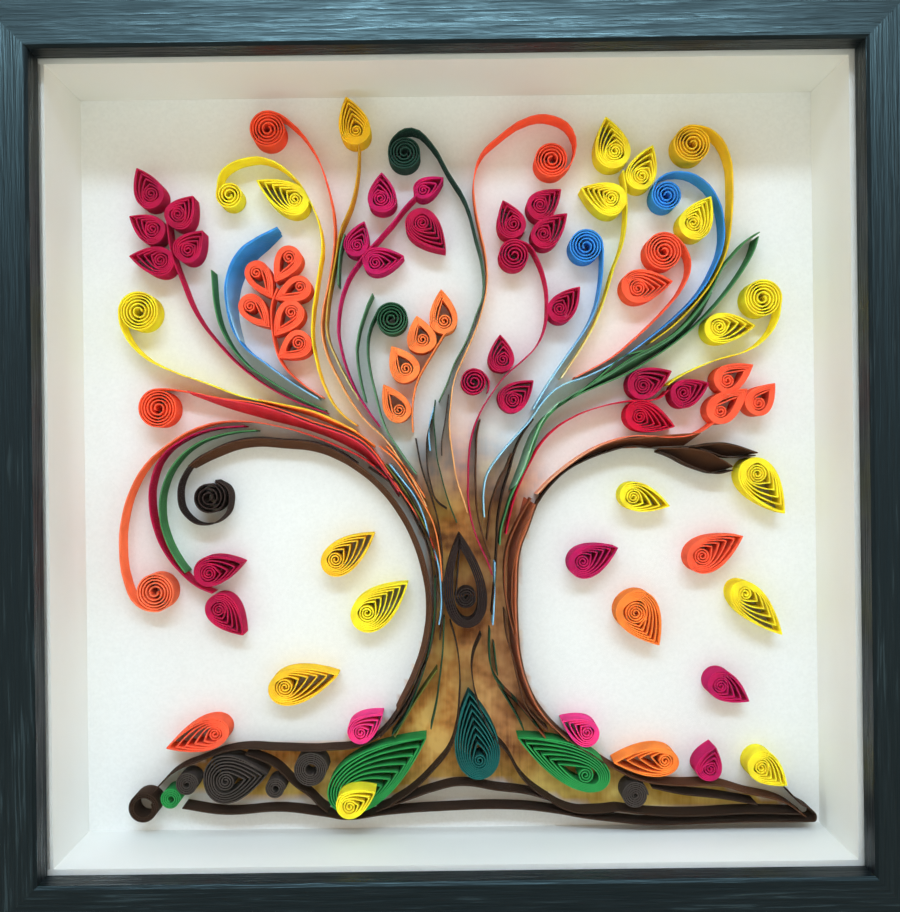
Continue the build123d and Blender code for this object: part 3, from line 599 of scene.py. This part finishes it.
crimson = paper("crimson", "b81448")
green = paper("mid green", "4c8a54")
ember = paper("coral to red", "ff7850", "cc3030", (0.045, 0.085))
quill("brown_curl_low", [(black_brown, [
    coil((.177, .456), .0225, start=1.2, sense=-1, rim=.0050, core=.0064),
    strip((.186, .479), (.2015, .468), (.204, .448), (.1965, .4306), (.171, .4194), (.148, .429), (.136, .454),
          (.148, .4946), (.183, .520), (.231, .535), (.279, .533), (.317, .529), (.348, .517), (.375, .500))]),
    (brown, [strip((.152, .4955), (.180, .509), (.225, .523), (.279, .521), (.317, .516), (.348, .504),
                   (.374, .488), (.402, .464), (.428, .430), (.447, .393), (.460, .350), (.4655, .310),
                   (.4605, .259), (.4465, .2156), (.423, .1674))],
     strip((.150, .4985), (.180, .518), (.228, .5325), (.279, .531), (.317, .527), (.348, .515), (.3745, .4985),
           (.404, .474), (.432, .440), (.453, .400), (.467, .355), (.472, .312), (.466, .259), (.4505, .2156),
           (.4255, .1674)))])
quill("orange_curl_low", [(ember, [
    curl((.103, .330), .0245, (.103, .3045), (.0787, .3133), (.064, .340), (.057, .394), (.0614, .433),
         (.073, .4685), (.092, .500), (.121, .526), (.164, .550), (.212, .558), (.279, .548), (.317, .536),
         (.348, .523), (.387, .5035), (.415, .479))])])
quill("crimson_pair_low", [(crimson, [
    strip((.180, .328), (.1597, .3374), (.1375, .3567), (.1173, .3827), (.1038, .4136), (.0974, .4514),
          (.100, .479), (.1134, .510), (.140, .532), (.183, .5475), (.225, .551)),
    leaf((.2205, .368), (.157, .352), .039), leaf((.220, .2715), (.178, .322), .040)])])
quill("green_strip_low", [(green, [
    strip((.1445, .356), (.1335, .371), (.1173, .404), (.111, .4367), (.1154, .4714), (.1327, .504), (.158, .526),
          (.183, .5365), (.212, .543), (.241, .545))])])

# The left branches: curls of yellow and orange red, sprays of crimson and coral leaves on a stem
# strip, and blades of green and blue.
red = paper("orange red", "ff5e3c")
rose = paper("rose red", "d83a4a")
lemon = paper("yellow to orange", "ffe630", "f8b048", (0.040, 0.070))
tangerine = paper("tangerine", "ff883a")
# Near the trunk, coral turns pale peach and both blues turn light blue: a painted highlight for the lit sides of
# the strips and the blade.
coral = paper("coral", "ff6242", "f8b088", (0.040, 0.066))
blade_blue_with_painted_highlight = paper("blue with painted light blue highlight", "3a90e0", "b0e0f4", (0.084, 0.103))
blue = paper("blue", "3a90e4", "a4daf2", (0.055, 0.085))
quill("red_curl_left", [(red, [
    curl((.1105, .576), .0255, (.112, .602), (.137, .600), (.198, .588), (.250, .580), (.317, .556),
         (.375, .534), (.394, .519), (.4136, .492), (.433, .462), (.450, .4365), (.4645, .412), (.474, .390),
         (.480, .369))]),
    (rose, [strip((.150, .5955), (.200, .5765), (.250, .5615), (.317, .5425), (.365, .5205), (.390, .5035),
                  (.4105, .481), (.430, .4525))],
     strip((.150, .5985), (.200, .5865), (.250, .5765), (.317, .552), (.3725, .5305), (.392, .5155), (.412, .4895),
           (.4315, .460)))])
quill("yellow_curl_left", [(lemon, [
    curl((.086, .706), .0265, (.0595, .706), (.064, .681), (.086, .650), (.121, .629), (.175, .609), (.221, .591),
         (.279, .579), (.317, .570), (.346, .5575), (.375, .542))]),
    (tangerine, [strip((.250, .5815), (.279, .5745), (.317, .5625), (.346, .550), (.375, .5375), (.398, .520))],
     strip((.245, .5865), (.279, .578), (.317, .5685), (.346, .556), (.375, .541), (.400, .5225)))])
quill("crimson_spray_left", [(crimson, [
    strip((.124, .842), (.126, .817), (.130, .788), (.144, .745), (.162, .702), (.191, .662), (.231, .622),
          (.288, .586), (.336, .567)),
    leaf((.0865, .897), (.110, .846), .037), leaf((.160, .859), (.131, .820), .037, -1),
    leaf((.076, .833), (.119, .805), .036), leaf((.173, .812), (.140, .776), .036),
    leaf((.075, .780), (.133, .769), .037)])])
quill("green_blade_left", [(green, [
    strip((.184, .760), (.189, .706), (.198, .677), (.225, .637), (.259, .6115), (.298, .588), (.333, .571))])])
quill("blue_blade_left", [
    (blue, [strip((.273, .816), (.241, .800), (.221, .785), (.204, .750), (.203, .716), (.2195, .6655),
                  (.259, .631), (.296, .604), (.325, .586))]),
    # Towards its inner foot the blade turns light blue: a painted highlight for its lit face.
    (blade_blue_with_painted_highlight, [strip((.274, .812), (.257, .795), (.2375, .7775), (.2225, .755), (.2145, .728), (.2135, .700),
                   (.2205, .6655))],
     strip((.273, .815), (.242, .799), (.223, .784), (.206, .750), (.205, .718), (.2105, .692), (.2200, .666)))])
quill("coral_spray_left", [(coral, [
    strip((.272, .735), (.264, .714), (.263, .6925), (.269, .652), (.277, .633), (.300, .609), (.330, .588)),
    petal((.264, .722), (.237, .769), .032), petal((.269, .744), (.296, .788), .033),
    petal((.260, .683), (.226, .723), .033), petal((.269, .721), (.315, .741), .031),
    petal((.267, .672), (.300, .714), .034), petal((.272, .643), (.313, .669), .035)])])

# The upper branches: curls of yellow, orange red, dark green and near-black paper, one gold leaf on
# its stem, and sprays of magenta and orange leaves.
yellow = paper("yellow", "ffe630")
# The paler colours that ochre, orange red, bottle green and black green turn near the trunk are a painted
# highlight for the strips' lit sides.
stem_ochre_with_painted_highlight = paper("ochre", "c99a2a", "e0d488", (0.055, 0.085))
orange_red_paper_with_painted_highlight = paper("orange red with painted peach highlight", "ff5a3a", "f7b070", (0.060, 0.110))
gold = paper("gold yellow", "f8c828", "b0b04a", (0.060, 0.085))
magenta = paper("magenta", "c0185e")
forest = paper("dark green", "5c8a64")
green_curl_paper_with_painted_highlight = paper("bottle green", "2a5a3c", "6c9a74", (0.045, 0.068))
black_curl_paper_with_painted_highlight = paper("black green", "24463a", "5c7a5c", (0.070, 0.090))
quill("yellow_curl_upper", [(lemon, [
    curl((.209, .8605), .0174, (.1925, .866), (.198, .890), (.212, .902), (.229, .908), (.255, .909), (.292, .887),
         (.317, .850), (.332, .798), (.326, .750), (.317, .683), (.320, .648), (.338, .590), (.354, .567),
         (.375, .550))])])
quill("yellow_leaf_upper", [(yellow, [leaf((.246, .879), (.312, .842), .040)])])
quill("red_curl_upper", [(orange_red_paper_with_painted_highlight, [
    curl((.2615, .9475), .0225, (.270, .970), (.288, .960), (.321, .921), (.338, .879), (.349, .815),
         (.342, .750), (.330, .687), (.3345, .652), (.348, .619), (.383, .561), (.414, .5305), (.435, .500),
         (.452, .472), (.468, .440))])])
quill("gold_leaf_top", [(stem_ochre_with_painted_highlight, [
    strip((.383, .9255), (.381, .890), (.373, .850), (.356, .8075), (.351, .779), (.345, .748), (.338, .706),
          (.3375, .672), (.350, .638), (.365, .608), (.379, .5845))]),
    (gold, [leaf((.367, .989), (.383, .927), .040, gap=.0026, pack=.0022, core_share=.36, reach=.7)])])
quill("magenta_spray", [(magenta, [
    strip((.458, .856), (.444, .842), (.429, .823), (.410, .802), (.381, .769), (.363, .739), (.352, .687),
          (.354, .660), (.373, .600), (.3885, .573), (.406, .548)),
    leaf((.4126, .887), (.4135, .8355), .037, -1), leaf((.4955, .879), (.457, .8595), .025),
    leaf((.3895, .822), (.3715, .778), .031), leaf((.441, .775), (.387, .767), .034)])])
quill("crimson_leaf_upper", [(crimson, [leaf((.4975, .783), (.451, .833), .042, -1)])])
quill("dark_green_blades", [(forest, [
    strip((.399, .726), (.390, .706), (.377, .658), (.377, .640), (.381, .610), (.3875, .582)),
    strip((.3625, .806), (.3577, .790), (.3545, .770), (.3535, .752), (.353, .738))])])
quill("dark_green_curl", [(green_curl_paper_with_painted_highlight, [
    curl((.424, .692), .0215, (.403, .698), (.394, .677), (.391, .654), (.393, .629), (.400, .596), (.4136, .546),
         (.4275, .523), (.4415, .502), (.4545, .484))])])
quill("orange_spray", [(orange, [
    strip((.495, .672), (.481, .650), (.468, .629), (.458, .610), (.452, .588), (.450, .567), (.4505, .540)),
    petal((.491, .730), (.4945, .672), .036), petal((.458, .695), (.467, .647), .038),
    petal((.424, .655), (.450, .610), .038), petal((.4125, .604), (.439, .556), .034)])])
quill("black_curl_top", [(black_curl_paper_with_painted_highlight, [
    curl((.444, .914), .0215, (.4225, .914), (.430, .935), (.454, .946), (.479, .927), (.502, .887), (.525, .848),
         (.538, .800), (.5465, .763), (.547, .725), (.537, .696), (.5228, .6597), (.507, .631), (.4977, .606),
         (.486, .581))])])
quill("orange_curl_top", [(orange_red_paper_with_painted_highlight, [
    curl((.6405, .9025), .0225, (.6535, .884), (.671, .908), (.668, .9425), (.644, .9595), (.613, .9595),
         (.567, .931), (.546, .910), (.5365, .879), (.5365, .850), (.543, .812), (.551, .773), (.552, .735),
         (.546, .705), (.534, .671), (.519, .638), (.507, .610), (.5015, .575), (.4995, .548), (.5045, .5035),
         (.508, .479), (.517, .450), (.5225, .431))])])

# The right branches: curls of blue, mustard, coral and yellow, a long green loop, sprays of
# crimson and yellow leaves, trios of crimson and coral leaves, and the brown branch.
# A pale green paper for the blade beside the green loop's strip: a painted highlight for that strip's lit side.
painted_highlight_green_side = paper("painted highlight green side", "9cc8a4")
# The cream that this yellow turns near the trunk is a painted highlight for the stem's lit side.
stem_yellow_with_painted_highlight = paper("yellow with painted cream highlight", "ecdc2c", "f2d9a0", (0.055, 0.085))
ruby = paper("ruby", "cc1238")
quill("crimson_spray_right", [(crimson, [
    curl((.589, .7755), .019, (.600, .793), (.6096, .788), (.618, .775), (.6304, .740), (.6327, .706),
         (.629, .677), (.618, .654), (.600, .6356), (.577, .616), (.5565, .590), (.541, .565), (.5305, .538),
         (.5255, .510), (.524, .4714), (.5235, .452), (.5255, .433), (.530, .412), (.538, .3886), (.548, .367),
         (.5545, .348)),
    leaf((.575, .848), (.592, .800), .036), leaf((.652, .862), (.612, .829), .037, -1),
    leaf((.6597, .8297), (.6173, .790), .036, -1), leaf((.6755, .7315), (.6395, .689), .035, -1)])])
quill("crimson_group_centre", [(crimson, [
    curl((.533, .6065), .0165, (.536, .6235), (.548, .616), (.5535, .604), (.551, .592)),
    leaf((.569, .6685), (.5705, .620), .033), leaf((.6125, .6066), (.570, .572), .037)])])
quill("blue_curl_centre", [(blue, [
    curl((.685, .786), .0225, (.7075, .786), (.7076, .769), (.704, .731), (.696, .700), (.682, .673),
         (.6644, .648), (.645, .621), (.627, .594), (.612, .569))])])
quill("blue_curl_right", [(blue, [
    curl((.794, .853), .020, (.776, .861), (.784, .8755), (.813, .8837), (.842, .873), (.8625, .846),
         (.8696, .815), (.868, .784), (.8576, .757), (.840, .727), (.811, .6964), (.773, .6655), (.7214, .630),
         (.683, .6115), (.650, .600), (.627, .5806), (.6076, .5536), (.5864, .5305), (.563, .5035),
         (.550, .4835), (.5455, .468), (.544, .445), (.545, .425))])])
quill("green_loop_right", [(green, [
    strip((.9155, .796), (.910, .7786), (.902, .763), (.883, .735), (.8634, .711), (.836, .683), (.8056, .658),
          (.7747, .6366), (.740, .616), (.702, .600), (.669, .5855), (.6424, .569), (.623, .546), (.6096, .511),
          (.600, .490), (.590, .471), (.5806, .452), (.573, .429), (.567, .408), (.565, .388)),
    strip((.917, .8017), (.906, .796), (.883, .773), (.867, .754), (.852, .725), (.836, .702), (.8075, .672),
          (.7786, .653), (.745, .636), (.718, .6185), (.695, .605)),
    strip((.760, .646), (.731, .6366), (.708, .617), (.6944, .6057), (.679, .594), (.6597, .5806), (.623, .5536),
          (.615, .538), (.6057, .513))]),
    (forest, [strip((.845, .697), (.826, .676), (.800, .656), (.7725, .638), (.740, .619), (.710, .605),
                    (.688, .595), (.664, .583), (.644, .570))],
     strip((.852, .722), (.834, .698), (.807, .669), (.7786, .650), (.745, .633), (.718, .616), (.695, .603),
           (.669, .590), (.648, .577))),
    # This pale green blade is a painted highlight for the lit side of the green strip beside it.
    (painted_highlight_green_side, [strip((.636, .566), (.616, .545), (.603, .520), (.595, .497), (.587, .477), (.580, .460))],
     strip((.646, .578), (.626, .556), (.613, .530), (.604, .505), (.596, .485), (.588, .468)))])
quill("yellow_spray_right", [(stem_yellow_with_painted_highlight, [
    strip((.736, .8866), (.7395, .860), (.7398, .825), (.734, .788), (.7224, .757), (.710, .7176), (.697, .6848),
          (.681, .656), (.662, .627), (.650, .610))]), (yellow, [
    leaf((.7137, .958), (.727, .891), .045), leaf((.776, .919), (.7515, .863), .038),
    leaf((.680, .864), (.737, .840), .042)])])
quill("mustard_curl_right", [(gold, [
    curl((.829, .921), .0235, (.8326, .9455), (.8596, .9357), (.878, .906), (.882, .867), (.879, .811),
         (.874, .7805), (.863, .7535), (.8485, .7295), (.826, .7025), (.801, .6785), (.770, .656))])])
quill("red_curl_right", [(coral, [
    curl((.789, .778), .0245, (.807, .7955), (.819, .7805), (.8245, .758), (.815, .731), (.794, .704),
         (.771, .681), (.7496, .6616), (.723, .640), (.698, .6255), (.669, .611))])])
quill("yellow_leaf_right", [(yellow, [leaf((.852, .850), (.821, .797), .042, -1)])])
quill("orange_leaf_right", [(coral, [leaf((.7998, .737), (.733, .729), .043)])])
quill("yellow_curl_right", [(yellow, [
    curl((.9205, .7135), .0245, (.9445, .706), (.9396, .683), (.923, .659), (.898, .643), (.8634, .6337),
         (.8326, .622), (.8036, .6075), (.792, .599)),
    leaf((.9097, .677), (.843, .673), .039, -1)])])
quill("crimson_trio_right", [(ruby, [
    strip((.793, .592), (.7824, .5826), (.769, .5790), (.7427, .5787), (.698, .570), (.6636, .5565), (.6385, .540),
          (.6195, .519), (.6065, .4965), (.5965, .477), (.587, .454), (.5795, .429), (.5735, .402)),
    leaf((.800, .543), (.737, .566), .040)]),
    (crimson, [leaf((.797, .617), (.741, .593), .039), leaf((.847, .601), (.798, .580), .036, -1)])])
quill("coral_trio_right", [(coral, [
    strip((.8557, .549), (.8326, .535), (.8036, .5295), (.769, .531), (.7465, .5315), (.7137, .524), (.683, .510),
          (.656, .492), (.6327, .473), (.615, .455)),
    petal((.906, .624), (.857, .597), .036), petal((.898, .592), (.848, .554), .038),
    petal((.935, .599), (.902, .562), .035)])])
quill("brown_branch_right", [(dark_brown, [
    strip((.911, .507), (.875, .519), (.8596, .521), (.827, .517), (.769, .5155), (.7465, .518), (.712, .511),
          (.677, .498), (.654, .485), (.6366, .4694), (.625, .456), (.617, .444)),
    strip((.908, .5035), (.8846, .501), (.867, .5025), (.848, .509), (.835, .5135)),
    strip((.8775, .484), (.8557, .480), (.836, .485), (.817, .4926), (.798, .503), (.780, .510))]),
    (brown, [strip((.908, .505), (.8846, .5035), (.867, .505), (.848, .511), (.827, .515))],
     strip((.910, .507), (.884, .516), (.8645, .5195), (.848, .5195), (.827, .5165))),
    (brown, [strip((.8765, .4855), (.8557, .482), (.836, .487), (.817, .4945), (.798, .5045), (.780, .511))],
     strip((.8775, .489), (.862, .499), (.845, .508), (.825, .513), (.800, .5145), (.780, .5145))),
    (rust, [strip((.820, .5185), (.769, .517), (.712, .5125), (.677, .4995), (.654, .4865), (.6366, .4705),
                  (.622, .453))],
     strip((.835, .5345), (.769, .530), (.7137, .523), (.683, .509), (.656, .491), (.634, .473), (.619, .457)))])
quill("yellow_leaf_low", [(yellow, [leaf((.946, .426), (.895, .496), .048, -1)])])

# Loose leaves that fall round the trunk: single coils of amber, yellow, magenta, coral and
# tangerine paper, pinched at one end and glued to the card on edge.
amber = paper("amber", "ffca30")
quill("falling_leaves_yellow", [
    (amber, [leaf((.396, .405), (.330, .357), .043, -1), leaf((.346, .2166), (.2545, .1935), .046, -1)]),
    (yellow, [leaf((.4406, .338), (.370, .2825), .049, -1), leaf((.792, .437), (.728, .457), .037),
              leaf((.9406, .264), (.878, .331), .040, -1)])])
quill("falling_leaves_red", [
    (magenta, [leaf((.7224, .3827), (.659, .354), .041, -1), leaf((.895, .175), (.844, .207), .037)]),
    (coral, [leaf((.8895, .396), (.818, .358), .044, -1)]),
    (tangerine, [leaf((.7757, .2516), (.734, .319), .056)])])

# Leaves and coils on the ground: pinched coils in pink, green, teal, orange and yellow, tight rolls
# of grey-brown and green paper, and a small yellow leaf glued on top of the big green one.
pink = paper("pink", "ee3a86")
leaf_green = paper("leaf green", "309c4e")
teal = paper("dark teal", "1b625d")
grey_brown = paper("grey brown", "4a403b")


def tight(centre, radius, open_share):
    """Line of a tight roll, whose turns nearly touch."""
    return coil(centre, radius, open_share, rim=0.0025, core=0.0030)


quill("ground_leaves_left", [
    (coral, [leaf((.1165, .1215), (.1985, .148), .040, -1)]),
    (pink, [leaf((.4058, .1627), (.362, .132), .033)]),
    (leaf_green, [leaf((.4637, .1317), (.336, .0435), .068, gap=.0042, pack=.0018, core_share=.42, reach=.75)])])
quill("ground_leaf_upper", [(yellow, [leaf((.397, .0705), (.348, .047), .034)])],
      CARD_FRONT - STRIP_WIDTH)
quill("ground_leaves_right", [
    (teal, [leaf((.5215, .1906), (.537, .076), .058, gap=.0029, pack=.0027, core_share=.30, reach=.75)]),
    (pink, [leaf((.646, .151), (.692, .1265), .034)]),
    (tangerine, [leaf((.7147, .095), (.800, .095), .037)]),
    (magenta, [leaf((.850, .1145), (.836, .071), .033)]),
    (yellow, [leaf((.9444, .062), (.898, .100), .040)]),
    (leaf_green, [
        leaf((.586, .130), (.706, .068), .053, -1, gap=.0033, pack=.0020, core_share=.45, reach=.6, lift=.05)])])
quill("ground_coils", [
    (grey_brown, [
        leaf((.2505, .0845), (.166, .076), .063, gap=.0042, pack=.0032, core_share=.36, reach=.6),
        tight((.143, .073), .015, .2), tight((.261, .066), .0135, .25), tight((.3085, .0905), .0225, .3),
        tight((.7417, .0515), .0175, .12)]),
    (dark_brown, [tight((.0845, .042), .020, .6)]),
    (leaf_green, [tight((.121, .0536), .0135, .25)])])

# The floor that the frame stands on: one plain sheet, pale, matt and a little warm. It belongs to
# the stage and isn't part of the object.
bpy.ops.object.select_all(action="DESELECT")
bpy.ops.mesh.primitive_plane_add(size=6, location=(0, 0, 0))
floor = bpy.context.object
floor.name = "floor"
material, tree = blank("pale matt floor")
shader = add(tree, "ShaderNodeBsdfPrincipled", {"Base Color": linear("e0d4c0"), "Roughness": 0.8})
add(tree, "ShaderNodeOutputMaterial", {"Surface": shader.outputs[0]})
floor.data.materials.append(material)

# The lamps: a long soft one in front and above, whose light the top rail keeps off the card's upper
# edge, and one that shows only in gloss and gives the top rail its sheen. Both face the frame.
LAMP_AIM = Vector((0, 0, 0.13))
LAMP_LENGTH = 0.9
LAMP_DISTANCE = 0.96
for height, width, energy, tint, lights_all in (
        (0.92, 0.16, 7.4, (0.62, 0.80, 1.0), True),
        (0.75, 0.09, 45, (0.62, 0.90, 1.0), False)):
    bpy.ops.object.light_add(type="AREA", location=(0, -LAMP_DISTANCE, height))
    lamp = bpy.context.object
    lamp.data.shape = "RECTANGLE"
    lamp.data.size = LAMP_LENGTH
    lamp.data.size_y = width
    lamp.data.energy = energy
    lamp.data.color = tint
    lamp.visible_diffuse = lights_all
    lamp.rotation_euler = (LAMP_AIM - lamp.location).to_track_quat("-Z", "Y").to_euler()

# The surround: warm in front and below, daylight above and at the sides, and plain white to the
# eye, in reflections and through glass.
FILL_LIGHT = 1.32
SIDE_SHARE = 0.85
world = bpy.data.worlds.new("studio")
bpy.context.scene.world = world
world.use_nodes = True
tree = world.node_tree
tree.nodes.clear()
rays = add(tree, "ShaderNodeLightPath")
place = add(tree, "ShaderNodeTexCoord").outputs["Generated"]
way = add(tree, "ShaderNodeSeparateXYZ", {0: place})
beside = add(tree, "ShaderNodeMath", {0: way.outputs["X"]}, operation="ABSOLUTE")
beside = add(tree, "ShaderNodeMath", {0: beside.outputs[0], 1: SIDE_SHARE}, operation="MULTIPLY")
high = add(tree, "ShaderNodeMath", {0: way.outputs["Z"], 1: beside.outputs[0]}, operation="MAXIMUM")
room = add(tree, "ShaderNodeValToRGB", {"Fac": high.outputs[0]},
           ((0.50, "b89a70"), (0.62, "e6f8ff"))).outputs[0]
fill = add(tree, "ShaderNodeBackground", {"Color": room, "Strength": FILL_LIGHT})
white = add(tree, "ShaderNodeBackground", {"Color": linear("f4f3f1"), "Strength": 1})
seen = add(tree, "ShaderNodeMath", {
    0: rays.outputs["Is Camera Ray"], 1: rays.outputs["Is Glossy Ray"]}, operation="MAXIMUM")
seen = add(tree, "ShaderNodeMath", {
    0: seen.outputs[0], 1: rays.outputs["Is Transmission Ray"]}, operation="MAXIMUM")
sky_mix = add(tree, "ShaderNodeMixShader", {0: seen.outputs[0], 1: fill.outputs[0], 2: white.outputs[0]})
add(tree, "ShaderNodeOutputWorld", {"Surface": sky_mix.outputs[0]})

# The camera stands where the photo's did: close in front of the middle, turned by a fraction of a
# degree, with its frame shifted a few of the picture's pixels aside.
PICTURE_SIDE = 912
SHIFT = 10.5
ROLL = math.radians(0.69)
bpy.ops.object.camera_add(location=(-0.0031, -0.2665, 0.1267), rotation=(math.radians(90), ROLL, 0))
camera = bpy.context.object
camera.data.lens = 36.8
camera.data.shift_x = SHIFT / PICTURE_SIDE
camera.data.clip_start = 0.01
bpy.context.scene.camera = camera
bpy.context.scene.view_settings.view_transform = "Standard"
